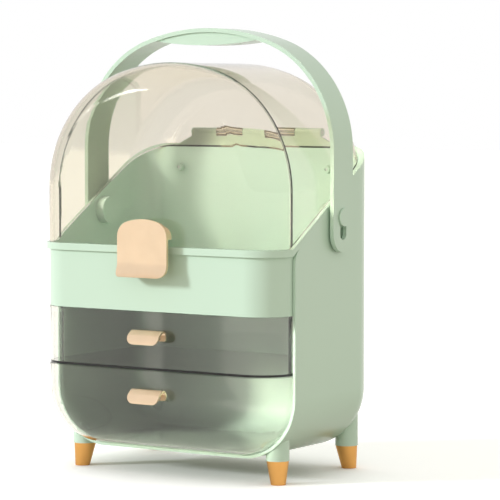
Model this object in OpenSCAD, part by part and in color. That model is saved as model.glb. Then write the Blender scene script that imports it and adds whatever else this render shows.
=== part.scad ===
// Tabletop cosmetics box: a moulded case on four feet, two clear drawers, an open tray,
// a clear domed lid hinged at the back and a carrying handle that swings over the lid.
// Millimetres, +Z up, +X to the right, the fronts face -Y, the feet stand on z = 0.

/* [Case] */
// Outer width of the case
case_w = 280; // [264:1:300]
// Depth of the case's sides, from front edge to back
case_d = 148; // [138:1:164]
// Wall of the moulded case
wall = 2.6; // [2.2:0.1:3.4]
// Radius of the upright corners
corner_r = 33.5; // [26:0.5:38]
// Radius of the bottom corners, seen from the front
base_r = 59; // [50:1:66]
// Radius at the top front corner of each side
cheek_r = 16; // [8:1:22]
// Slant of the rim along the sides, in degrees
rim_slope = 31.5; // [27:0.1:34]
// How far the rim's slant starts before the case's front edge
rim_lead = 4; // [2:0.1:6]
// Clearance beside pieces that slide or drop in
fit_gap = 0.5; // [0.35:0.05:0.7]
// How far the fronts stand before the case's front edge
bulge = 33.5; // [28:0.5:38]

/* [Levels] */
// Height of a foot tip
tip_h = 22.5; // [18:0.5:28]
// Drop from the case's lowest face to the foot tips
collar_drop = 0.8; // [0.5:0.1:3]
// Height taken by the lower drawer, from the case's lowest face
lower_h = 80.7; // [74:0.1:92]
// Height taken by the upper drawer
upper_h = 56; // [50:0.5:66]
// Height of the tray's front below its rim band
tray_h = 55; // [50:0.5:66]
// Height of the rim band
band_h = 6.7; // [5.5:0.1:8]
// Height of the lid above the front of the rim
lid_h = 173; // [164:1:186]

/* [Tray] */
// Wall of the tray
tray_wall = 2.6; // [2:0.1:3.2]
// Depth of the pocket that clears each handle pivot
pocket_depth = 9; // [8:0.5:12]

/* [Lid] */
// Wall of the lid
lid_wall = 2.8; // [2.2:0.1:3.4]
// Gap under the closed lid
lid_gap = 0.3; // [0.2:0.05:0.5]
// How much flatter the lid's arch is than a half circle
lid_flat = 15.4; // [12:0.1:20]
// Width of the ring behind the glued seam, front to back
seam_w = 1.6; // [1:0.1:4]
// Thickness of the ring behind the seam
seam_t = 0.8; // [0.5:0.1:2]
// Straight stretch between the seam and the front panel's rounding
seam_land = 1.5; // [1:0.5:4]

/* [Lid hinge] */
// Radius of the hinge knuckles
knuckle_r = 4; // [3.5:0.1:5]
// Radius of the hinge pin
pin_r = 1.5; // [1.2:0.1:1.9]
// Running clearance round the hinge pin
pin_gap = 0.06; // [0.03:0.01:0.1]
// Length of one knuckle
knuckle_len = 30; // [24:1:34]
// Gap between knuckles, end to end
knuckle_gap = 0.4; // [0.3:0.05:0.8]
// Height of the hinge line above the rim at the back
hinge_rise = 12; // [9:0.5:15]
// Length of the slope at each end of the strip that carries the hinge
strip_run = 25; // [15:1:30]

/* [Handle] */
// Thickness of the strap
strap_t = 4; // [3.4:0.1:5]
// Width of the strap
strap_w = 34.5; // [30:0.5:38]
// Height of the pivots above the front of the rim
pivot_rise = 27; // [24:0.5:29]
// Height of the gap between the lid and the grip
grip_gap = 17; // [15:0.5:26]
// Thickness of the grip at its middle
grip_t = 12.5; // [10:0.5:15]
// Length of the grip
grip_len = 124; // [100:1:136]
// Sag of the grip's underside between its tips
grip_sag = 5; // [3:0.5:7]
// Lift of the handle on its pivots
handle_lift = 16; // [12:0.5:18]
// How much flatter the strap's arch is than a half circle
strap_flat = 29.8; // [27:0.1:33]

/* [Handle pivots] */
// Radius of the pivot's neck, in the strap's slot
neck_r = 5.42; // [4.5:0.01:6.5]
// Running clearance of the neck and of the shaft
pivot_gap = 0.08; // [0.03:0.01:0.1]
// Radius of the pivot's outer disc
disc_r = 8.7; // [8:0.1:10.5]
// Thickness of the outer disc
disc_t = 1.8; // [1.4:0.1:2.4]
// Radius of the pivot's shaft, in the case
shaft_r = 6; // [5:0.1:7]
// Radius of the raised pad round the shaft
pad_r = 11; // [9.5:0.1:13]
// Height of the raised pad
pad_h = 2.2; // [1.8:0.1:3]
// Side play between the pad, the strap and the disc
side_play = 0.3; // [0.2:0.05:0.5]
// Radius of the retaining washer
washer_r = 9; // [8.5:0.1:10]
// Thickness of the retaining washer
washer_t = 1.2; // [1:0.1:1.8]

/* [Lid pull] */
// Width of the lid's pull
pull_w = 57; // [48:1:66]
// Height of the pull's flat plate
pull_h = 40.5; // [36:0.5:44]
// Drop of the plate's lower edge below the top of the rim
pull_drop = 14.4; // [11:0.1:18]
// Thickness of the plate
pull_t = 3; // [2.2:0.1:3.6]
// Distance from the lid's face to the back of the plate
pull_reach = 11.7; // [10:0.1:14]
// How much flatter the plate's top is than a half circle
pull_flat = 11.5; // [9:0.1:14]
// Radius of the lip's curve
lip_r = 17; // [14:0.5:22]
// Angle that the lip turns through, in degrees
lip_turn = 55; // [45:1:62]
// Radius of the lip's lower corners
lip_corner_r = 7; // [4:0.5:9]
// Inset of the mount behind the plate
mount_inset = 4.5; // [3:0.5:6]
// Height of the mount's lower edge above the top of the rim
mount_rise = 7; // [5:0.5:8]

/* [Drawers] */
// Wall of the drawers
drawer_wall = 2.2; // [1.8:0.1:2.8]
// Gap above and below each drawer
drawer_gap = 0.35; // [0.25:0.05:0.5]
// Height of the ribs under the lower drawer
floor_rib_h = 0.6; // [0.4:0.1:1.2]
// How far the side ribs stand out to carry the upper drawer
side_rib_w = 3; // [2.4:0.1:4]
// Height of a side rib
side_rib_h = 3; // [2.4:0.1:4]
// Height of the upper drawer's hanging flange
flange_h = 5; // [4:0.1:7]
// How far the bead along a drawer's top edge stands out from its front
bead = 1; // [0.5:0.1:1.5]
// Height of that bead
bead_h = 1.5; // [1:0.1:2.5]
// Width of a drawer's pull
drawer_pull_w = 36; // [30:1:46]
// Height of the plate on the drawer's face, from the top of its pull
drawer_pull_h = 10; // [9.5:0.5:13]
// Thickness of a drawer's pull
drawer_pull_t = 1.8; // [1.4:0.1:2.4]
// Radius of the roll at the top of a drawer's pull
roll_r = 5; // [4:0.1:5.5]
// Length of the slope between the roll and the lip
slope_len = 5; // [3:0.5:7]
// Radius of the lip's curve on a drawer's pull
hook_r = 15; // [12:0.5:18]
// Radius of that lip's lower corners
hook_corner_r = 7; // [4:0.5:8]
// Drop of a drawer's pull below the top of its drawer
drawer_pull_drop = 17; // [12:0.5:22]

/* [Feet] */
// Radius of a foot tip where it stands
tip_r1 = 7.1; // [6:0.1:9]
// Radius of a foot tip at its top
tip_r2 = 10.7; // [9.5:0.1:11.5]
// Angle by which each foot tip leans outwards, in degrees
tip_lean = 6.8; // [3:0.1:9]
// Distance of the feet from the middle, left and right
foot_x = 113; // [98:1:114]
// Distance of the feet from the case's front edge and back
foot_inset = 12; // [12:0.5:24]
// How far the collar stands out round the top of a foot tip
collar_lip = 0.4; // [0.1:0.1:1]

/* [Screws] */
// Radius of the small screws
screw_r = 1.5; // [1.2:0.1:1.8]
// Radius of a small screw's head
screw_head_r = 3; // [2.6:0.1:3.6]
// Height of a small screw's head
screw_head_h = 1.6; // [1.2:0.1:2]
// Radius of the foot screws
foot_screw_r = 2; // [1.6:0.1:2.4]

/* [Hidden] */
$fn = 96;

mint = "#bfe0c8";
gold = "#e2b887";
foot_gold = "#d29650";
clear = [0.80, 0.78, 0.72, 0.45];
steel = "#b8babd";

half = case_w / 2;
base_z = tip_h + collar_drop;
split_z = base_z + lower_h;
tray_z = split_z + upper_h;
band_z = tray_z + tray_h;
rim_z = band_z + band_h;

// Pieces inside the case keep this distance from its outer faces
inset = wall + fit_gap;
fit_half = half - inset;
fit_rear = case_d - inset;
fit_corner = corner_r - inset;

hinge_y = case_d + 1;
hinge_z = rim_at(case_d) + hinge_rise;
pivot_y = case_d / 2;
pivot_z = rim_z + pivot_rise;
pull_face = -bulge - pull_reach - pull_t;
pull_z = rim_z - pull_drop;
lip_flare = lip_r * (1 - cos(lip_turn));
lip_drop = lip_r * sin(lip_turn);

// The origin lies midway between the pull's lip and the hinge knuckles
front_reach = lip_flare - pull_face;
rear_reach = hinge_y + knuckle_r;
centre_y = (rear_reach - front_reach) / 2;

strap_inner = half + pad_h + side_play;
strap_outer = strap_inner + strap_t;
slot_r = neck_r + pivot_gap;
bit = 0.01;

// Sides of the triangle between an arch's centres, for each millimetre of its flattening
arch_run = 1.2;
arch_rise = 3.5;
arch_reach = 3.7;

// Height of the rim's top face at a distance y behind the case's front edge
function rim_at(y) = rim_z + max(y + rim_lead, 0) * tan(rim_slope);

// Radii of an arch's shoulders and of its crown
function shoulder_r(half_w, flat) = half_w - arch_run * flat;
function crown_r(half_w, flat) = shoulder_r(half_w, flat) + arch_reach * flat;

module in_frame() translate([0, -centre_y, 0]) children();

// Both sides of the middle plane
module both_sides() for (side = [0, 1]) mirror([side, 0, 0]) children();

// The square corner that lies outside a quarter circle
module corner_cut(r) if (r > 0) difference() {
    square(r + 1);
    circle(r);
}

// Half of a plan outline, from the middle out to its two rounded corners
module half_plan(reach, front, rear, r_front, r_rear) difference() {
    translate([0, front]) square([reach, rear - front]);
    translate([reach - r_front, front + r_front]) mirror([0, 1]) corner_cut(r_front);
    translate([reach - r_rear, rear - r_rear]) corner_cut(r_rear);
}

// A whole plan outline with four rounded corners
module plan(reach, front, rear, r_front, r_rear) difference() {
    translate([-reach, front]) square([2 * reach, rear - front]);
    both_sides() {
        translate([reach - r_front, front + r_front]) mirror([0, 1]) corner_cut(r_front);
        translate([reach - r_rear, rear - r_rear]) corner_cut(r_rear);
    }
}

// Turns a profile all the way round a line along Y
module turned() rotate([90, 0, 0]) rotate_extrude() mirror([0, 1]) children();

// Turns a profile about a line along Y, from one angle to another, seen from the front
module sector(from, to) rotate([0, -from, 0]) rotate([90, 0, 0])
    rotate_extrude(angle = to - from) mirror([0, 1]) children();

// Extrudes an outline drawn in Y and Z along X, centred
module side_extrude(width) rotate([90, 0, 90]) linear_extrude(width, center = true) children();

// Extrudes an outline drawn in X and Z along Y, between two places
module front_extrude(from, to) translate([0, to, 0]) rotate([90, 0, 0])
    linear_extrude(to - from) children();

// A ring's stretch between two directions
module ring_sector(r_in, r_out, from, to) intersection() {
    difference() {
        circle(r_out);
        circle(r_in);
    }
    polygon([[0, 0], 4 * r_out * from, 4 * r_out * to]);
}

// The share of an arch that its crown spans, above the line where it springs
module crown_share(flat, spring) translate([0, spring]) polygon([
    [-arch_run * flat, 0], [arch_run * flat, 0],
    [5 * arch_run * flat, 4 * arch_rise * flat], [-5 * arch_run * flat, 4 * arch_rise * flat]
]);

// The share of an arch that its right shoulder spans, which laps just under the crown's
module shoulder_share(flat, spring) translate([0, spring]) polygon([
    [arch_run * flat - bit, 0], [40 * flat, 0],
    [40 * flat, 4 * arch_rise * flat], [5 * arch_run * flat - bit, 4 * arch_rise * flat]
]);

// A three-centred arch over upright sides, in X and Z
module arch_outline(half_w, top, flat, low) {
    spring = top - half_w + flat;
    translate([-half_w, low]) square([2 * half_w, spring - low]);
    both_sides() intersection() {
        translate([arch_run * flat, spring]) circle(shoulder_r(half_w, flat));
        shoulder_share(flat, spring);
    }
    intersection() {
        translate([0, spring - arch_rise * flat]) circle(crown_r(half_w, flat));
        crown_share(flat, spring);
    }
}

// The space under the rim's top face, raised or lowered by lift
module under_rim(lift) {
    far = 2 * case_d;
    side_extrude(2 * case_w) polygon([
        [-far, -1], [-far, rim_z + lift], [-rim_lead, rim_z + lift], [far, rim_at(far) + lift], [far, -1]
    ]);
}

// A U-shaped block with rounded bottom corners, its front and back edges filleted
module u_block(half_w, bottom, radius, top, front, rear, r_front, r_rear) {
    centre = half_w - radius;
    translate([0, 0, bottom + radius]) linear_extrude(top - bottom - radius)
        plan(half_w, front, rear, r_front, r_rear);
    both_sides() translate([centre, 0, bottom + radius]) sector(270, 360)
        half_plan(radius, front, rear, r_front, r_rear);
    translate([-centre, 0, bottom + radius]) rotate([0, 90, 0]) linear_extrude(2 * centre)
        half_plan(radius, front, rear, r_front, r_rear);
}

lid_top = rim_z + lid_h;
dome_spring = lid_top - fit_half + lid_flat;
dome_crown = crown_r(fit_half, lid_flat);
dome_shoulder = shoulder_r(fit_half, lid_flat);

// Half of the lid's plan outline, drawn in by t from its outer face
module lid_half_plan(reach, t)
    half_plan(reach - t, t - bulge, fit_rear - t, bulge - seam_land - t, fit_corner - t);

// The lid's skin in half plan, from outside to inside by depth, between two places along Y
module lid_skin(reach, outside, inside, from, to) intersection() {
    difference() {
        lid_half_plan(reach, outside);
        lid_half_plan(reach, inside);
    }
    translate([0, from]) square([reach, to - from]);
}

// A domed skin: upright sides, shoulders and crown, standing on the rim
module dome(outside, inside, from, to) difference() {
    union() {
        translate([0, 0, rim_z - band_h]) linear_extrude(dome_spring - rim_z + band_h)
            both_sides() lid_skin(fit_half, outside, inside, from, to);
        intersection() {
            translate([0, 0, lid_top - dome_crown]) turned()
                lid_skin(dome_crown, outside, inside, from, to);
            front_extrude(-case_d, 2 * case_d) crown_share(lid_flat, dome_spring);
        }
        both_sides() intersection() {
            translate([fit_half - dome_shoulder, 0, dome_spring]) turned()
                lid_skin(dome_shoulder, outside, inside, from, to);
            front_extrude(-case_d, 2 * case_d) shoulder_share(lid_flat, dome_spring);
        }
    }
    under_rim(lid_gap);
}

// A pan-head screw, its head's flat underside at z = 0 and its tip pointing down
module screw(r, head_r, head_h, len) {
    difference() {
        cylinder(h = head_h, r = head_r);
        for (turn = [0, 90]) rotate(turn)
            translate([-head_r * 0.6, -head_r * 0.1, head_h * 0.45])
                cube([head_r * 1.2, head_r * 0.2, head_h]);
    }
    translate([0, 0, -len]) cylinder(h = len + bit, r = r);
}

// Places of the screws that hold the tray to the case's back
tray_screw_at = [half * 0.62, tray_z + tray_h * 0.5, hinge_z - 3 * hinge_rise];
tray_boss_len = 6;

module at_tray_screws() both_sides() for (z = [tray_screw_at[1], tray_screw_at[2]])
    translate([tray_screw_at[0], case_d, z]) rotate([-90, 0, 0]) children();

module at_foot(side, rear)
    translate([side * foot_x, rear ? case_d - foot_inset : foot_inset, 0]) children();

module at_feet() for (side = [-1, 1], rear = [false, true]) at_foot(side, rear) children();

foot_seat_z = tip_h + 4;
rib_z = tray_z - drawer_gap - flange_h - fit_gap;
rib_y = 4;
rib_end = case_d - corner_r - 4;

// The space inside the case's wall, up to a height
module case_hollow(top) u_block(half - wall, base_z + wall, base_r - wall, top,
    -1, case_d - wall, 0, corner_r - wall);

module case_shell() color(mint) in_frame() difference() {
    union() {
        difference() {
            u_block(half, base_z, base_r, rim_at(case_d), 0, case_d, 0, corner_r);
            case_hollow(rim_at(2 * case_d));
        }
        difference() {
            at_feet() translate([0, 0, tip_h]) cylinder(h = base_r, r = tip_r2 + collar_lip);
            case_hollow(split_z);
        }
        both_sides() {
            translate([half, pivot_y, pivot_z]) rotate([0, 90, 0]) cylinder(h = pad_h, r = pad_r);
            translate([half - wall - side_rib_w, rib_y, rib_z - side_rib_h])
                cube([side_rib_w + wall / 2, rib_end - rib_y, side_rib_h]);
            translate([half * 0.45, rib_y, base_z + wall / 2])
                cube([4, rib_end - rib_y, wall / 2 + floor_rib_h]);
        }
    }
    difference() {
        translate([-case_w, -case_w, tray_z]) cube(2 * case_w);
        under_rim(-band_h);
    }
    cheek_rounding();
    both_sides() translate([half - wall - 1, pivot_y, pivot_z]) rotate([0, 90, 0])
        cylinder(h = wall + pad_h + 2, r = shaft_r + pivot_gap);
    at_tray_screws() translate([0, 0, -wall - 1]) cylinder(h = wall + 2, r = screw_r + 0.3);
    at_feet() {
        cylinder(h = 2 * base_r, r = foot_screw_r + 0.3);
        translate([0, 0, foot_seat_z]) cylinder(h = base_r, r = 2 * foot_screw_r + 1);
    }
}

// Rounds the top front corner of both sides, between the upright edge and the slanted one
module cheek_rounding() {
    z = rim_at(0) - band_h + cheek_r * (tan(rim_slope) - 1 / cos(rim_slope));
    touch = [cheek_r * (1 - sin(rim_slope)), z + cheek_r * cos(rim_slope)];
    side_extrude(2 * case_w) difference() {
        polygon([[-1, z], [cheek_r, z], touch, [touch[0], rim_at(cheek_r)], [-1, rim_at(cheek_r)]]);
        translate([cheek_r, z]) circle(cheek_r);
    }
}

module upper_tray() color(mint) in_frame() {
    ledge = inset;
    difference() {
        union() {
            intersection() {
                translate([0, 0, tray_z]) linear_extrude(rim_at(case_d))
                    plan(fit_half, -bulge, fit_rear, bulge, fit_corner);
                under_rim(0);
            }
            intersection() {
                difference() {
                    translate([0, 0, band_z]) linear_extrude(rim_at(case_d))
                        plan(half, -bulge - ledge, case_d, bulge + ledge, corner_r);
                    under_rim(-band_h);
                }
                under_rim(0);
            }
            hinge_upstand();
        }
        difference() {
            translate([0, 0, tray_z + tray_wall]) linear_extrude(rim_at(2 * case_d))
                plan(fit_half - tray_wall, tray_wall - bulge, fit_rear - tray_wall,
                     bulge - tray_wall, fit_corner - tray_wall);
            pivot_pockets(tray_wall);
            at_tray_screws() translate([0, 0, -inset - tray_wall - tray_boss_len])
                cylinder(h = tray_boss_len + tray_wall, r = screw_r + 2.5);
        }
        pivot_pockets(0);
        at_tray_screws() translate([0, 0, -inset - tray_wall - tray_boss_len - 1])
            cylinder(h = tray_boss_len + tray_wall + 1 + bit, r = screw_r);
    }
}

// Round pockets in the tray's sides that clear the ends of the handle pivots
module pivot_pockets(t) both_sides()
    translate([fit_half - pocket_depth - t, pivot_y, pivot_z]) rotate([0, 90, 0])
        cylinder(h = pocket_depth + t + bit, r = washer_r + 2 + t);

// Knuckles stand in a row along the hinge line, the case's and the lid's in turn
knuckle_pitch = knuckle_len + knuckle_gap;

module knuckle_row(places) for (place = places)
    translate([place * knuckle_pitch, hinge_y, hinge_z]) rotate([0, 90, 0]) children();

// The strip behind the lid that carries the hinge, with the case's knuckles on its top edge
module hinge_upstand() difference() {
    union() {
        strip_y = fit_rear + 0.5;
        low = rim_at(strip_y) - band_h / 2;
        high = hinge_z - knuckle_r - 0.4;
        reach = 2.5 * knuckle_pitch - knuckle_gap / 2;
        front_extrude(strip_y, case_d) polygon([
            [-reach - strip_run, low], [reach + strip_run, low], [reach, high], [-reach, high]
        ]);
        knuckle_row([-2, 0, 2]) cylinder(h = knuckle_len, r = knuckle_r, center = true);
        for (place = [-2, 0, 2]) translate([place * knuckle_pitch - knuckle_len / 2, strip_y, low])
            cube([knuckle_len, case_d - strip_y, hinge_z - low]);
    }
    knuckle_row([0]) cylinder(h = 6 * knuckle_pitch, r = pin_r, center = true);
}

module lid_knuckles() difference() {
    union() {
        knuckle_row([-1, 1]) cylinder(h = knuckle_len, r = knuckle_r, center = true);
        for (place = [-1, 1]) translate([
            place * knuckle_pitch - knuckle_len / 2, fit_rear - lid_wall / 2, hinge_z - knuckle_r
        ]) cube([knuckle_len, hinge_y - fit_rear + lid_wall / 2, 2 * knuckle_r]);
    }
    knuckle_row([0]) cylinder(h = 6 * knuckle_pitch, r = pin_r + pin_gap, center = true);
}

module hinge_pin() color(steel) in_frame() knuckle_row([0])
    cylinder(h = 5 * knuckle_pitch - knuckle_gap, r = pin_r, center = true);

module lid_canopy() color(clear) in_frame() {
    dome(0, lid_wall, 0, case_d);
    lid_knuckles();
}

// The ring that the lid's two pieces are glued to, inside their seam
module lid_seam_ring() color(clear) in_frame() dome(lid_wall, lid_wall + seam_t, -seam_w / 2, seam_w / 2);

// Places of the two screws of the lid's pull
pull_screw_x = pull_w / 2 - mount_inset - screw_head_r - 4;
pull_screw_z = rim_z + mount_rise + screw_head_r + 1.5;

module at_pull_screws() both_sides()
    translate([pull_screw_x, lid_wall - bulge, pull_screw_z]) rotate([-90, 0, 0]) children();

module lid_front_panel() color(clear) in_frame() difference() {
    dome(0, lid_wall, -bulge, 0);
    at_pull_screws() translate([0, 0, -2 * lid_wall]) cylinder(h = 3 * lid_wall, r = screw_r);
}

// The plate's outline, drawn in by t from its edge
module pull_outline(t) arch_outline(pull_w / 2 - t, pull_z + pull_h - t, pull_flat, pull_z);

module lid_pull() color(gold) in_frame() difference() {
    union() {
        front_extrude(pull_face, pull_face + pull_t) pull_outline(0);
        intersection() {
            translate([0, pull_face - lip_r, pull_z]) side_extrude(pull_w)
                ring_sector(lip_r, lip_r + pull_t, [1, 0], [cos(lip_turn), -sin(lip_turn)]);
            front_extrude(pull_face - 2 * lip_r, pull_face + pull_t + 1) lip_outline();
        }
    }
    at_pull_screws() translate([0, 0, -lid_wall - pull_reach - pull_t / 2])
        cylinder(h = pull_reach, r = screw_r);
}

// The lip seen from the front, with its lower corners rounded
module lip_outline() difference() {
    translate([-pull_w / 2, pull_z - 2 * lip_drop]) square([pull_w, 3 * lip_drop]);
    translate([-pull_w, pull_z - 3 * lip_drop]) square([2 * pull_w, 2 * lip_drop + bit]);
    both_sides() translate([pull_w / 2 - lip_corner_r, pull_z - lip_drop + lip_corner_r])
        mirror([0, 1]) corner_cut(lip_corner_r);
}

module lid_pull_mount() color(gold) in_frame() difference() {
    intersection() {
        front_extrude(-bulge - pull_reach, -bulge) pull_outline(mount_inset);
        translate([-pull_w, -2 * bulge, rim_z + mount_rise]) cube([2 * pull_w, 2 * bulge, pull_h]);
    }
    at_pull_screws() translate([0, 0, -2 * lid_wall - pull_reach]) cylinder(h = 2 * pull_reach, r = screw_r);
}

module lid_pull_screws() color(steel) in_frame() at_pull_screws()
    screw(screw_r, screw_head_r, screw_head_h, lid_wall + pull_reach + pull_t / 2);

// The left pivot's stud: outer disc, neck in the strap's slot, collar and shaft in the case
module pivot_stud() translate([0, pivot_y, pivot_z]) rotate([0, 90, 0]) {
    shaft_end = half - wall - side_play;
    difference() {
        union() {
            translate([0, 0, strap_outer + side_play]) cylinder(h = disc_t, r = disc_r);
            translate([0, 0, half + pad_h])
                cylinder(h = strap_outer + side_play - half - pad_h + bit, r = neck_r);
            translate([0, 0, shaft_end])
                cylinder(h = half + pad_h + bit - shaft_end, r = min(shaft_r, neck_r));
            translate([0, 0, shaft_end]) cylinder(h = half + pad_h - shaft_end, r = shaft_r);
        }
        translate([0, 0, shaft_end - 1]) cylinder(h = wall + pad_h + 1, r = screw_r);
    }
}

module pivot_left() color(mint) in_frame() mirror([1, 0, 0]) pivot_stud();

module pivot_right() color(mint) in_frame() pivot_stud();

module at_pivot_ends() both_sides()
    translate([half - wall - side_play, pivot_y, pivot_z]) rotate([0, -90, 0]) children();

module pivot_washers() color(steel) in_frame() at_pivot_ends() difference() {
    cylinder(h = washer_t, r = washer_r);
    translate([0, 0, -1]) cylinder(h = washer_t + 2, r = screw_r);
}

module pivot_screws() color(steel) in_frame() at_pivot_ends() translate([0, 0, washer_t])
    screw(screw_r, screw_head_r, screw_head_h, washer_t + wall + pad_h);

// The strap's arch over its upright legs, drawn in by t from its outer face
module strap_outline(t, low)
    arch_outline(strap_outer - t, strap_top - t, strap_flat, low);

strap_crown = crown_r(strap_outer, strap_flat);
strap_top = lid_top + grip_gap + grip_t + strap_t;

module handle_strap() color(mint) in_frame() translate([0, pivot_y, 0]) {
    slot_low = pivot_z - handle_lift;
    difference() {
        union() {
            front_extrude(-strap_w / 2, strap_w / 2) difference() {
                strap_outline(0, slot_low);
                strap_outline(strap_t, slot_low - 1);
            }
            both_sides() translate([strap_inner, 0, slot_low]) rotate([0, 90, 0])
                cylinder(h = strap_t, r = strap_w / 2);
        }
        both_sides() {
            for (z = [slot_low, pivot_z]) translate([strap_inner - 1, 0, z]) rotate([0, 90, 0])
                cylinder(h = strap_t + 2, r = slot_r);
            translate([strap_inner - 1, -slot_r, slot_low]) cube([strap_t + 2, 2 * slot_r, handle_lift]);
        }
        at_grip_screws() cylinder(h = strap_t - 1, r = screw_r);
    }
}

// Places of the two screws that hold the grip, on the strap's inner face
grip_screw_x = grip_len * 0.22;
grip_screw_seat = sqrt(pow(strap_crown - strap_t, 2) - pow(grip_screw_x, 2)) + strap_top - strap_crown;

module at_grip_screws() both_sides() translate([grip_screw_x, 0, grip_screw_seat - 1]) children();

grip_low = lid_top + grip_gap;
grip_w = strap_w - 4;

module handle_grip() color(mint) in_frame() translate([0, pivot_y, 0]) difference() {
    under_r = (pow(grip_len / 2, 2) + pow(grip_sag, 2)) / (2 * grip_sag);
    front_extrude(-grip_w / 2, grip_w / 2) intersection() {
        translate([0, strap_top - strap_crown]) circle(strap_crown - strap_t, $fn = 256);
        translate([0, grip_low + under_r]) circle(under_r, $fn = 256);
    }
    at_grip_screws() {
        translate([0, 0, -2 * grip_t]) cylinder(h = 3 * grip_t, r = screw_r);
        translate([0, 0, -2 * grip_t - 4]) cylinder(h = 2 * grip_t, r = screw_head_r + 0.5);
    }
}

module grip_screws() color(steel) in_frame() translate([0, pivot_y, 0]) at_grip_screws()
    translate([0, 0, -4]) mirror([0, 0, 1]) screw(screw_r, screw_head_r, screw_head_h, 4 + strap_t - 1);

// The clear box of the upper drawer: its sides draw in behind the front to pass the ribs
drawer_rear = fit_rear - 1.5;
upper_low = split_z + drawer_gap;
upper_top = tray_z - drawer_gap;
slim_half = fit_half - side_rib_w - fit_gap;

module upper_drawer_block(t) {
    low = upper_low + t;
    high = upper_top + (t > 0 ? 1 : 0);
    intersection() {
        translate([0, 0, low]) linear_extrude(high - low)
            plan(fit_half - t, t - bulge, drawer_rear - t, bulge - t, fit_corner - t);
        translate([-case_w, -case_d, 0]) cube([2 * case_w, case_d + rib_y - 1 - t, lid_top]);
    }
    translate([0, 0, low]) linear_extrude(high - low)
        plan(slim_half - t, 0, drawer_rear - t, 0, fit_corner - side_rib_w - t);
}

// The bead along a drawer's top edge, round the part that stands before the case
module drawer_bead(top) intersection() {
    translate([0, 0, top - bead_h]) linear_extrude(bead_h) difference() {
        plan(fit_half + bead, -bulge - bead, case_d, bulge + bead, 0);
        plan(fit_half - drawer_wall, drawer_wall - bulge, 2 * case_d, bulge - drawer_wall, 0);
    }
    translate([-case_w, -case_d, 0]) cube([2 * case_w, case_d - 2 * fit_gap, lid_top]);
}

module drawer_upper_tray() color(clear) in_frame() difference() {
    union() {
        drawer_bead(upper_top);
        upper_drawer_block(0);
        translate([0, 0, upper_top - flange_h]) linear_extrude(flange_h)
            plan(fit_half, 0, rib_end, 0, 3);
    }
    upper_drawer_block(drawer_wall);
    at_pull_holes(upper_top);
}

lower_low = base_z + wall + floor_rib_h + drawer_gap;
lower_top = split_z - drawer_gap;

module lower_drawer_block(t) u_block(fit_half - t, lower_low + t, base_r - inset - t,
    lower_top + (t > 0 ? 1 : 0), t - bulge, drawer_rear - t, bulge - t, fit_corner - t);

module drawer_lower_tray() color(clear) in_frame() difference() {
    union() {
        drawer_bead(lower_top);
        lower_drawer_block(0);
    }
    lower_drawer_block(drawer_wall);
    at_pull_holes(lower_top);
}

// Both screws of a drawer's pull go through its front wall, from inside
drawer_screw_x = drawer_pull_w * 0.3;

module at_drawer_screws(top) both_sides()
    translate([drawer_screw_x, drawer_wall - bulge, top - drawer_pull_drop - (roll_r + drawer_pull_h) / 2])
    rotate([-90, 0, 0]) children();

module at_pull_holes(top) at_drawer_screws(top)
    translate([0, 0, -2 * drawer_wall]) cylinder(h = 3 * drawer_wall, r = screw_r);

// A hooked pull, from the side: a plate on the drawer's face, a roll, a slope and a curved lip
hook_crease = [-roll_r, -roll_r] + roll_r * [-0.6, 0.8] + slope_len * [-0.8, -0.6];
hook_low = 0.2 * roll_r + 0.6 * (slope_len + hook_r) + bit;

module hook_roll() {
    translate([-drawer_pull_t, -drawer_pull_h]) square([drawer_pull_t, drawer_pull_h - roll_r]);
    translate([-roll_r, -roll_r]) ring_sector(roll_r - drawer_pull_t, roll_r, [1, 0], [-0.6, 0.8]);
}

module hook_slope() {
    start = [-roll_r, -roll_r] + roll_r * [-0.6, 0.8];
    overlap = [-roll_r, -roll_r] + (roll_r - drawer_pull_t / 2) * [-0.28, 0.96];
    across = drawer_pull_t * [0.6, -0.8];
    polygon([hook_crease, start, overlap, start + across, hook_crease + across]);
}

module hook_lip() translate(hook_crease + hook_r * [0.8, -0.6])
    ring_sector(hook_r - drawer_pull_t, hook_r, [-0.8, 0.6], [-1, 0]);

module drawer_pull(top) difference() {
    intersection() {
        translate([0, -bulge, top - drawer_pull_drop]) {
            side_extrude(drawer_pull_w) hook_roll();
            side_extrude(drawer_pull_w) hook_slope();
            side_extrude(drawer_pull_w) hook_lip();
        }
        translate([0, 0, top - drawer_pull_drop]) front_extrude(-2 * bulge, 0) difference() {
            translate([-drawer_pull_w / 2, -hook_low]) square([drawer_pull_w, 2 * hook_low]);
            both_sides() translate([drawer_pull_w / 2 - hook_corner_r, hook_corner_r - hook_low])
                mirror([0, 1]) corner_cut(hook_corner_r);
        }
    }
    at_drawer_screws(top) translate([0, 0, -drawer_wall - drawer_pull_t])
        cylinder(h = drawer_wall + drawer_pull_t, r = screw_r);
}

module drawer_pull_screws(top) at_drawer_screws(top)
    screw(screw_r, screw_head_r, screw_head_h, drawer_wall + drawer_pull_t);

module drawer_upper_pull() color(gold) in_frame() drawer_pull(upper_top);
module drawer_upper_screws() color(steel) in_frame() drawer_pull_screws(upper_top);
module drawer_lower_pull() color(gold) in_frame() drawer_pull(lower_top);
module drawer_lower_screws() color(steel) in_frame() drawer_pull_screws(lower_top);

// A foot tip that leans outwards, drilled for the screw that holds it under its collar
module foot_tip(side, rear) color(foot_gold) in_frame() at_foot(side, rear) difference() {
    spare = 0.2;
    widening = spare * (tip_r2 - tip_r1);
    intersection() {
        translate([0, 0, tip_h]) rotate(a = tip_lean, v = [rear ? 1 : -1, -side, 0])
            translate([0, 0, -(1 + spare) * tip_h]) cylinder(
                h = (1 + 2 * spare) * tip_h, r1 = tip_r1 - widening, r2 = tip_r2 + widening);
        translate([-2 * tip_r2, -2 * tip_r2, 0]) cube([4 * tip_r2, 4 * tip_r2, tip_h]);
    }
    translate([0, 0, tip_h / 2]) cylinder(h = tip_h, r = foot_screw_r);
}

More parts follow.
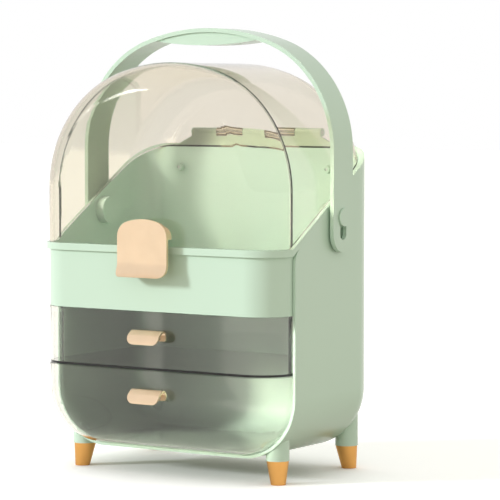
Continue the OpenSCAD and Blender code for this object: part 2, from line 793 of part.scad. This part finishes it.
module foot_screws() color(steel) in_frame() at_feet() translate([0, 0, foot_seat_z])
    screw(foot_screw_r, 2 * foot_screw_r, 1.2 * foot_screw_r, foot_seat_z - tip_h / 2);

module tray_screws() color(steel) in_frame() at_tray_screws()
    screw(screw_r, screw_head_r + 0.5, screw_head_h, inset + tray_wall + tray_boss_len - 1);

case_shell();
upper_tray();
tray_screws();
foot_tip(-1, false);  // foot_front_left
foot_tip(1, false);  // foot_front_right
foot_tip(-1, true);  // foot_rear_left
foot_tip(1, true);  // foot_rear_right
foot_screws();
hinge_pin();
lid_canopy();
lid_front_panel();
lid_seam_ring();
lid_pull();
lid_pull_mount();
lid_pull_screws();
pivot_left();
pivot_right();
pivot_washers();
pivot_screws();
handle_strap();
handle_grip();
grip_screws();
drawer_upper_tray();
drawer_upper_pull();
drawer_upper_screws();
drawer_lower_tray();
drawer_lower_pull();
drawer_lower_screws();
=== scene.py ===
"""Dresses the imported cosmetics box: mint case, clear lid and drawers, gold pulls and feet."""
import math

import bmesh
import bpy
from bpy.props import FloatProperty, FloatVectorProperty, PointerProperty
from mathutils import Euler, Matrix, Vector


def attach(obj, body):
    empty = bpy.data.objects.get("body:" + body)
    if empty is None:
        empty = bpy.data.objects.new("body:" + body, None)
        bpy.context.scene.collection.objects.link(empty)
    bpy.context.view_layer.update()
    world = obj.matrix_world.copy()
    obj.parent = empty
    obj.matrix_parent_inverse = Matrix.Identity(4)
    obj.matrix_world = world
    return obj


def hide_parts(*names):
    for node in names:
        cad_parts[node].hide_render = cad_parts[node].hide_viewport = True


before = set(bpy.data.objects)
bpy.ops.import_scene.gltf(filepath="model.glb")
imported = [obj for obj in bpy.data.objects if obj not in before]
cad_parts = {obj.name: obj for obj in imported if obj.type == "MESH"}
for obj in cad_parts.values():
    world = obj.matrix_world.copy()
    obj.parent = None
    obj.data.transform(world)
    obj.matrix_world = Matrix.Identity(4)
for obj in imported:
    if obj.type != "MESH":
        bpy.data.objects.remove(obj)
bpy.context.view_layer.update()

bl_info = {
    "name": "Cosmetics Box",
    "version": (1, 0, 0),
    "blender": (4, 5, 0),
    "location": "View3D > Sidebar > Cosmetics Box",
    "description": "Builds the looks of a domed cosmetics box with clear drawers and a handle",
    "category": "Add Mesh",
}

MM = 0.001

# Angle between faces above which an edge gets rounded, and the steps of that rounding
SHARP_ANGLE = math.radians(32)
ROUND_STEPS = 3
# Faces that turn by less than this lie in one plane
FLAT_ANGLE = math.radians(0.3)
# Points closer than this are one point
SAME_POINT = 0.002 * MM
# Half the floor's width, and how far it lies under the feet
FLOOR_REACH = 12
FLOOR_DROP = 0.05 * MM


# Sizes and colours

class BoxSizes(bpy.types.PropertyGroup):
    """Sizes that the pieces share"""

    case_round: FloatProperty(
        name="Case edge rounding", description="Radius of the moulded case's edges",
        default=0.9 * MM, min=0.1 * MM, max=3 * MM, unit="LENGTH")
    clear_round: FloatProperty(
        name="Clear edge rounding", description="Radius of the polished edges of the clear parts",
        default=0.5 * MM, min=0.1 * MM, max=1 * MM, unit="LENGTH")
    metal_round: FloatProperty(
        name="Metal edge rounding", description="Radius of the edges of the pulls",
        default=0.55 * MM, min=0.1 * MM, max=1 * MM, unit="LENGTH")
    strap_round: FloatProperty(
        name="Strap edge rounding", description="Radius of the handle strap's edges",
        default=1.5 * MM, min=0.2 * MM, max=1.9 * MM, unit="LENGTH")


class BoxColours(bpy.types.PropertyGroup):
    """Colours of the box, as linear values"""

    mint: FloatVectorProperty(
        name="Mint", description="Colour of the moulded plastic",
        default=(0.62, 0.755, 0.61), min=0, max=1, subtype="COLOR")
    lid: FloatVectorProperty(
        name="Lid tint", description="Colour that light keeps after passing the lid's wall",
        default=(0.905, 0.875, 0.815), min=0, max=1, subtype="COLOR")
    drawer: FloatVectorProperty(
        name="Drawer tint", description="Colour that light keeps after passing a drawer's wall",
        default=(0.99, 0.985, 0.96), min=0, max=1, subtype="COLOR")
    champagne: FloatVectorProperty(
        name="Champagne gold", description="Colour of the pulls",
        default=(0.86, 0.66, 0.46), min=0, max=1, subtype="COLOR")
    foot: FloatVectorProperty(
        name="Foot gold", description="Colour of the foot tips",
        default=(0.72, 0.37, 0.11), min=0, max=1, subtype="COLOR")


class BoxStage(bpy.types.PropertyGroup):
    """Camera and light"""

    lens: FloatProperty(
        name="Lens", description="Focal length on a 36 mm sensor", default=179.24, min=20, max=400)
    key: FloatProperty(
        name="Key light", description="Strength of the light from the front left",
        default=2.3, min=0, max=5)
    ambient: FloatProperty(
        name="Ambient light", description="Strength of the light from all round",
        default=1.3, min=0, max=2)


# Node helpers

def new_material(name):
    """A fresh node material: its node tree, its shader and its output."""
    material = bpy.data.materials.new(name)
    material.use_nodes = True
    tree = material.node_tree
    return material, tree, tree.nodes["Principled BSDF"]


def node(tree, kind, **values):
    """A node with its sockets or settings set by name."""
    made = tree.nodes.new(kind)
    for key, value in values.items():
        socket = made.inputs.get(key.replace("_", " "))
        if socket is not None:
            socket.default_value = value
        else:
            setattr(made, key, value)
    return made


def noise(tree, scale, detail=3.0, rough=0.5, stretch=(1, 1, 1)):
    """A noise over the object's own place, its scale in cycles per metre."""
    place = node(tree, "ShaderNodeTexCoord")
    spread = node(tree, "ShaderNodeMapping")
    spread.inputs["Scale"].default_value = stretch
    grain = node(tree, "ShaderNodeTexNoise", Scale=scale, Detail=detail, Roughness=rough)
    tree.links.new(place.outputs["Object"], spread.inputs["Vector"])
    tree.links.new(spread.outputs["Vector"], grain.inputs["Vector"])
    return grain.outputs["Fac"]


def between(tree, factor, low, high):
    """Maps a factor onto a range of numbers."""
    ranged = node(tree, "ShaderNodeMapRange")
    ranged.inputs["From Min"].default_value = 0.3
    ranged.inputs["From Max"].default_value = 0.7
    ranged.inputs["To Min"].default_value = low
    ranged.inputs["To Max"].default_value = high
    tree.links.new(factor, ranged.inputs["Value"])
    return ranged.outputs["Result"]


def blend_colours(tree, factor, first, second):
    """Blends two colours by a factor."""
    ramp = node(tree, "ShaderNodeValToRGB")
    ramp.color_ramp.elements[0].position = 0.3
    ramp.color_ramp.elements[0].color = (*first, 1)
    ramp.color_ramp.elements[1].position = 0.7
    ramp.color_ramp.elements[1].color = (*second, 1)
    tree.links.new(factor, ramp.inputs["Fac"])
    return ramp.outputs["Color"]


def relief(tree, shader, height, depth, strength):
    """Bumps a shader's surface by a height."""
    bump = node(tree, "ShaderNodeBump", Strength=strength, Distance=depth)
    tree.links.new(height, bump.inputs["Height"])
    tree.links.new(bump.outputs["Normal"], shader.inputs["Normal"])


def either(tree, kind, factor, first, second):
    """A number (FLOAT) or a colour (RGBA): the first at factor 0, the second at factor 1."""
    mix = node(tree, "ShaderNodeMix", data_type=kind)
    sockets = {socket.name: socket for socket in mix.inputs if socket.enabled}
    tree.links.new(factor, sockets["Factor"])
    for name, value in (("A", first), ("B", second)):
        if isinstance(value, bpy.types.NodeSocket):
            tree.links.new(value, sockets[name])
        else:
            sockets[name].default_value = value
    return next(socket for socket in mix.outputs if socket.enabled)


def shade(colour, by):
    """A colour made lighter or darker."""
    return tuple(min(1.0, c * by) for c in colour)


# Finishes

def mint_plastic():
    """Satin moulded plastic with a faint flow mottling and a fine moulded grain."""
    colour = bpy.context.scene.box_colours.mint
    material, tree, shader = new_material("mint_plastic")
    tint = blend_colours(tree, noise(tree, 9, 2), shade(colour, 0.985), shade(colour, 1.015))
    tree.links.new(tint, shader.inputs["Base Color"])
    tree.links.new(between(tree, noise(tree, 60, 4), 0.30, 0.38), shader.inputs["Roughness"])
    shader.inputs["IOR"].default_value = 1.49
    shader.inputs["Coat Weight"].default_value = 0.15
    shader.inputs["Coat Roughness"].default_value = 0.2
    relief(tree, shader, noise(tree, 1500, 2), 0.02 * MM, 0.25)
    return material


def clear_plastic(name, tint, thickness, rough):
    """Polished clear plastic: its tint deepens with the way through it, and lamps shine through."""
    material, tree, shader = new_material(name)
    shader.inputs["Transmission Weight"].default_value = 1.0
    shader.inputs["IOR"].default_value = 1.46
    pale = (0.985, 0.985, 0.98)
    colour = blend_colours(tree, noise(tree, 7, 2), pale, (1, 1, 1))
    tree.links.new(colour, shader.inputs["Base Color"])
    haze = between(tree, noise(tree, 25, 3), rough * 0.6, rough * 1.4)
    tree.links.new(haze, shader.inputs["Roughness"])
    relief(tree, shader, noise(tree, 18, 1), 0.2 * MM, 0.04)
    output = tree.nodes["Material Output"]
    # A clear shadow lets the lamps reach what stands inside
    passing = node(tree, "ShaderNodeBsdfTransparent", Color=(0.98, 0.98, 0.98, 1))
    path = node(tree, "ShaderNodeLightPath")
    pick = node(tree, "ShaderNodeMixShader")
    tree.links.new(path.outputs["Is Shadow Ray"], pick.inputs[0])
    tree.links.new(shader.outputs["BSDF"], pick.inputs[1])
    tree.links.new(passing.outputs["BSDF"], pick.inputs[2])
    tree.links.new(pick.outputs["Shader"], output.inputs["Surface"])
    # The absorption leaves just the tint after one wall
    darkest = -math.log(min(tint))
    body = node(tree, "ShaderNodeVolumeAbsorption")
    body.inputs["Color"].default_value = (*(1 + math.log(c) / darkest for c in tint), 1)
    body.inputs["Density"].default_value = darkest / thickness
    tree.links.new(body.outputs["Volume"], output.inputs["Volume"])
    return material


def plated_metal(name, colour, rough, grain):
    """Satin plating with a fine brushed grain and slight cloudiness."""
    material, tree, shader = new_material(name)
    shader.inputs["Metallic"].default_value = 1.0
    tint = blend_colours(tree, noise(tree, 40, 3), shade(colour, 0.97), shade(colour, 1.03))
    tree.links.new(tint, shader.inputs["Base Color"])
    satin = between(tree, noise(tree, 120, 3), rough * 0.9, rough * 1.15)
    tree.links.new(satin, shader.inputs["Roughness"])
    relief(tree, shader, noise(tree, 700, 2, stretch=grain), 0.015 * MM, 0.3)
    return material


def steel():
    """Zinc-plated steel of the screws, washers and hinge pin."""
    material, tree, shader = new_material("plated_steel")
    shader.inputs["Metallic"].default_value = 1.0
    tint = blend_colours(tree, noise(tree, 160, 3), (0.60, 0.60, 0.60), (0.72, 0.72, 0.71))
    tree.links.new(tint, shader.inputs["Base Color"])
    tree.links.new(between(tree, noise(tree, 400, 3), 0.24, 0.36), shader.inputs["Roughness"])
    relief(tree, shader, noise(tree, 2500, 2), 0.01 * MM, 0.3)
    return material


def finish(name):
    """The material of that name, made once."""
    made = bpy.data.materials.get(name)
    if made:
        return made
    colours = bpy.context.scene.box_colours
    makers = {
        "mint_plastic": mint_plastic,
        "lid_plastic": lambda: clear_plastic("lid_plastic", colours.lid, 2.8 * MM, 0.03),
        "drawer_plastic": lambda: clear_plastic("drawer_plastic", colours.drawer, 2.2 * MM, 0.04),
        "champagne_plating": lambda: plated_metal(
            "champagne_plating", colours.champagne, 0.42, (1, 1, 0.05)),
        "foot_plating": lambda: plated_metal("foot_plating", colours.foot, 0.38, (0.3, 0.3, 1)),
        "plated_steel": steel,
    }
    return makers[name]()


# Pieces

def dress(name, material):
    """Gives a CAD node its finish."""
    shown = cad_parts[name]
    shown.data.materials.clear()
    shown.data.materials.append(finish(material))
    return shown


def cleaned(mesh):
    """Joins split points and dissolves the flat faces' inner edges."""
    shape = bmesh.new()
    shape.from_mesh(mesh)
    bmesh.ops.remove_doubles(shape, verts=shape.verts, dist=SAME_POINT)
    bmesh.ops.dissolve_limit(
        shape, angle_limit=FLAT_ANGLE, verts=shape.verts, edges=shape.edges, delimit=set())
    shape.to_mesh(mesh)
    shape.free()
    mesh.polygons.foreach_set("use_smooth", [True] * len(mesh.polygons))
    mesh.update()


def rounded(name, piece_name, body, material, radius):
    """A piece that stands for a CAD node, with its sharp edges rounded."""
    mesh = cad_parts[name].data.copy()
    mesh.name = piece_name
    piece = bpy.data.objects.new(piece_name, mesh)
    bpy.context.scene.collection.objects.link(piece)
    cleaned(mesh)
    edges = piece.modifiers.new("rounded edges", "BEVEL")
    edges.width = radius
    edges.segments = ROUND_STEPS
    edges.limit_method = "ANGLE"
    edges.angle_limit = SHARP_ANGLE
    edges.miter_outer = "MITER_ARC"
    normals = piece.modifiers.new("even shading", "WEIGHTED_NORMAL")
    normals.keep_sharp = False
    mesh.materials.clear()
    mesh.materials.append(finish(material))
    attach(piece, body)
    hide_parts(name)
    return piece


# Operators

class BOX_OT_camera(bpy.types.Operator):
    """Places the camera at the right front, slightly above the lid's middle"""

    bl_idname = "box.camera"
    bl_label = "Place Camera"

    def execute(self, context):
        data = bpy.data.cameras.new("camera")
        data.lens = context.scene.box_stage.lens
        data.sensor_width = 36
        data.clip_end = 50
        camera = bpy.data.objects.new("camera", data)
        camera.location = (1.366985, -1.980400, 0.364974)
        camera.rotation_euler = Euler((math.radians(90 - 3.593), 0, math.radians(33.472)))
        context.scene.collection.objects.link(camera)
        context.scene.camera = camera
        return {"FINISHED"}


class BOX_OT_case(bpy.types.Operator):
    """Builds the moulded case and the tray in its top"""

    bl_idname = "box.case"
    bl_label = "Build Case"

    def execute(self, context):
        radius = context.scene.box_sizes.case_round
        rounded("case_shell", "case_body", "case", "mint_plastic", radius)
        rounded("upper_tray", "top_tray", "case", "mint_plastic", radius)
        return {"FINISHED"}


class BOX_OT_lid(bpy.types.Operator):
    """Builds the clear lid: its canopy, its front panel and the ring behind their seam"""

    bl_idname = "box.lid"
    bl_label = "Build Lid"

    def execute(self, context):
        radius = context.scene.box_sizes.clear_round
        rounded("lid_canopy", "lid_canopy_skin", "lid", "lid_plastic", radius)
        rounded("lid_front_panel", "lid_front_skin", "lid", "lid_plastic", radius)
        dress("lid_seam_ring", "lid_plastic")
        return {"FINISHED"}


class BOX_OT_handle(bpy.types.Operator):
    """Builds the carrying handle: strap, grip and pivots"""

    bl_idname = "box.handle"
    bl_label = "Build Handle"

    def execute(self, context):
        sizes = context.scene.box_sizes
        rounded("handle_strap", "carrying_strap", "handle", "mint_plastic",
                sizes.strap_round)
        rounded("handle_grip", "padded_grip", "handle", "mint_plastic", 2 * MM)
        for side in ("left", "right"):
            rounded("pivot_" + side, "pivot_stud_" + side, "handle_pivots",
                    "mint_plastic", 0.5 * MM)
        return {"FINISHED"}


class BOX_OT_drawers(bpy.types.Operator):
    """Builds the two clear drawers"""

    bl_idname = "box.drawers"
    bl_label = "Build Drawers"

    def execute(self, context):
        radius = context.scene.box_sizes.clear_round
        for level in ("upper", "lower"):
            rounded(f"drawer_{level}_tray", f"clear_drawer_{level}", f"drawer_{level}",
                    "drawer_plastic", radius)
        return {"FINISHED"}


class BOX_OT_pulls(bpy.types.Operator):
    """Builds the gold pulls of the lid and of the drawers"""

    bl_idname = "box.pulls"
    bl_label = "Build Pulls"

    def execute(self, context):
        radius = context.scene.box_sizes.metal_round
        rounded("lid_pull", "lid_pull_plate", "lid", "champagne_plating", radius)
        rounded("lid_pull_mount", "lid_pull_block", "lid", "champagne_plating",
                radius)
        for level in ("upper", "lower"):
            rounded(f"drawer_{level}_pull", f"hooked_pull_{level}", f"drawer_{level}",
                    "champagne_plating", radius)
        return {"FINISHED"}


class BOX_OT_feet(bpy.types.Operator):
    """Builds the four tapered foot tips"""

    bl_idname = "box.feet"
    bl_label = "Build Feet"

    def execute(self, context):
        for place in ("front_left", "front_right", "rear_left", "rear_right"):
            rounded("foot_" + place, "foot_tip_" + place, "case", "foot_plating",
                    0.6 * MM)
        return {"FINISHED"}


class BOX_OT_fasteners(bpy.types.Operator):
    """Finishes the screws, washers and the hinge pin"""

    bl_idname = "box.fasteners"
    bl_label = "Finish Fasteners"

    def execute(self, context):
        for name in ("tray_screws", "foot_screws", "hinge_pin", "lid_pull_screws", "pivot_washers",
                     "pivot_screws", "grip_screws", "drawer_upper_screws", "drawer_lower_screws"):
            dress(name, "plated_steel")
        return {"FINISHED"}


class BOX_OT_stage(bpy.types.Operator):
    """Lays the pale floor and sets the soft studio light"""

    bl_idname = "box.stage"
    bl_label = "Build Stage"

    def execute(self, context):
        lay_floor()
        light_world(context.scene.box_stage.ambient)
        light_key(context.scene.box_stage.key)
        context.scene.view_settings.view_transform = "Standard"
        return {"FINISHED"}


def seen_directly(tree):
    """1 for rays from the camera, from gloss and through clear parts, otherwise 0."""
    path = node(tree, "ShaderNodeLightPath")
    first = node(tree, "ShaderNodeMath", operation="MAXIMUM")
    second = node(tree, "ShaderNodeMath", operation="MAXIMUM")
    tree.links.new(path.outputs["Is Camera Ray"], first.inputs[0])
    tree.links.new(path.outputs["Is Glossy Ray"], first.inputs[1])
    tree.links.new(first.outputs[0], second.inputs[0])
    tree.links.new(path.outputs["Is Transmission Ray"], second.inputs[1])
    return second.outputs[0]


def lay_floor():
    """A wide pale floor, which keeps the box's shadow, deepened by painted shade under the box, and
    throws little light back up.
    """
    mesh = bpy.data.meshes.new("floor")
    reach = FLOOR_REACH
    corners = [(-reach, -reach, 0), (reach, -reach, 0), (reach, reach, 0), (-reach, reach, 0)]
    mesh.from_pydata(corners, [], [(0, 1, 2, 3)])
    floor = bpy.data.objects.new("floor", mesh)
    floor.location.z = -FLOOR_DROP
    bpy.context.scene.collection.objects.link(floor)
    material, tree, shader = new_material("pale_floor")
    shader.inputs["Roughness"].default_value = 0.9
    shader.inputs["Specular IOR Level"].default_value = 0.1
    shader.inputs["Emission Color"].default_value = (1, 1, 1, 1)
    seen = seen_directly(tree)
    pale = blend_colours(tree, noise(tree, 3, 2), (0.93, 0.93, 0.94), (0.95, 0.95, 0.96))
    bounce = (0.50, 0.46, 0.38, 1)
    tree.links.new(either(tree, "RGBA", seen, bounce, pale), shader.inputs["Base Color"])
    # The glow that makes the floor white fades where the box is near: painted shade that darkens
    # the floor under the box beyond its real shadow
    painted_shade_ao = node(tree, "ShaderNodeAmbientOcclusion", samples=8, Distance=0.12)
    shadowed_glow = node(tree, "ShaderNodeMath", operation="MULTIPLY")
    strength = between(tree, painted_shade_ao.outputs["AO"], 0.0, 0.36)
    tree.links.new(seen, shadowed_glow.inputs[0])
    tree.links.new(strength, shadowed_glow.inputs[1])
    tree.links.new(shadowed_glow.outputs[0], shader.inputs["Emission Strength"])
    mesh.materials.append(material)


def light_world(ambient):
    """White for what sees it directly, and for the rest a soft light that fades towards the top."""
    world = bpy.data.worlds.new("studio")
    bpy.context.scene.world = world
    world.use_nodes = True
    tree = world.node_tree
    background = tree.nodes["Background"]
    place = node(tree, "ShaderNodeTexCoord")
    parts = node(tree, "ShaderNodeSeparateXYZ")
    tree.links.new(place.outputs["Generated"], parts.inputs["Vector"])
    height = node(tree, "ShaderNodeMapRange")
    height.inputs["To Min"].default_value = ambient
    height.inputs["To Max"].default_value = ambient * 0.35
    tree.links.new(parts.outputs["Z"], height.inputs["Value"])
    seen = seen_directly(tree)
    strength = either(tree, "FLOAT", seen, height.outputs["Result"], 1.0)
    tree.links.new(strength, background.inputs["Strength"])
    colour = either(tree, "RGBA", seen, (1, 0.975, 0.88, 1), (1, 1, 1, 1))
    tree.links.new(colour, background.inputs["Color"])


def light_key(strength):
    """A soft light from the front left."""
    data = bpy.data.lights.new("key", "SUN")
    data.energy = strength
    data.angle = math.radians(9)
    data.color = (0.94, 0.97, 1.0)
    key = bpy.data.objects.new("key", data)
    way = Vector((0.66, 0.70, -0.30))
    key.rotation_euler = way.to_track_quat("-Z", "Y").to_euler()
    key.visible_glossy = False
    bpy.context.scene.collection.objects.link(key)


# Panel and registration

OPERATORS = (
    BOX_OT_camera, BOX_OT_case, BOX_OT_lid, BOX_OT_handle, BOX_OT_drawers, BOX_OT_pulls,
    BOX_OT_feet, BOX_OT_fasteners, BOX_OT_stage,
)


class BOX_PT_panel(bpy.types.Panel):
    """Lists the box's settings and the steps that build it"""

    bl_label = "Cosmetics Box"
    bl_idname = "BOX_PT_panel"
    bl_space_type = "VIEW_3D"
    bl_region_type = "UI"
    bl_category = "Cosmetics Box"

    def draw(self, context):
        scene = context.scene
        for group in (scene.box_sizes, scene.box_colours, scene.box_stage):
            for name in group.__annotations__:
                self.layout.prop(group, name)
        for step in OPERATORS:
            self.layout.operator(step.bl_idname)


CLASSES = (BoxSizes, BoxColours, BoxStage, *OPERATORS, BOX_PT_panel)


def register():
    for made in CLASSES:
        bpy.utils.register_class(made)
    bpy.types.Scene.box_sizes = PointerProperty(type=BoxSizes)
    bpy.types.Scene.box_colours = PointerProperty(type=BoxColours)
    bpy.types.Scene.box_stage = PointerProperty(type=BoxStage)


def unregister():
    del bpy.types.Scene.box_stage
    del bpy.types.Scene.box_colours
    del bpy.types.Scene.box_sizes
    for made in reversed(CLASSES):
        bpy.utils.unregister_class(made)


def main():
    register()
    for step in OPERATORS:
        group, call = step.bl_idname.split(".")
        getattr(getattr(bpy.ops, group), call)()


if __name__ == "__main__":
    main()
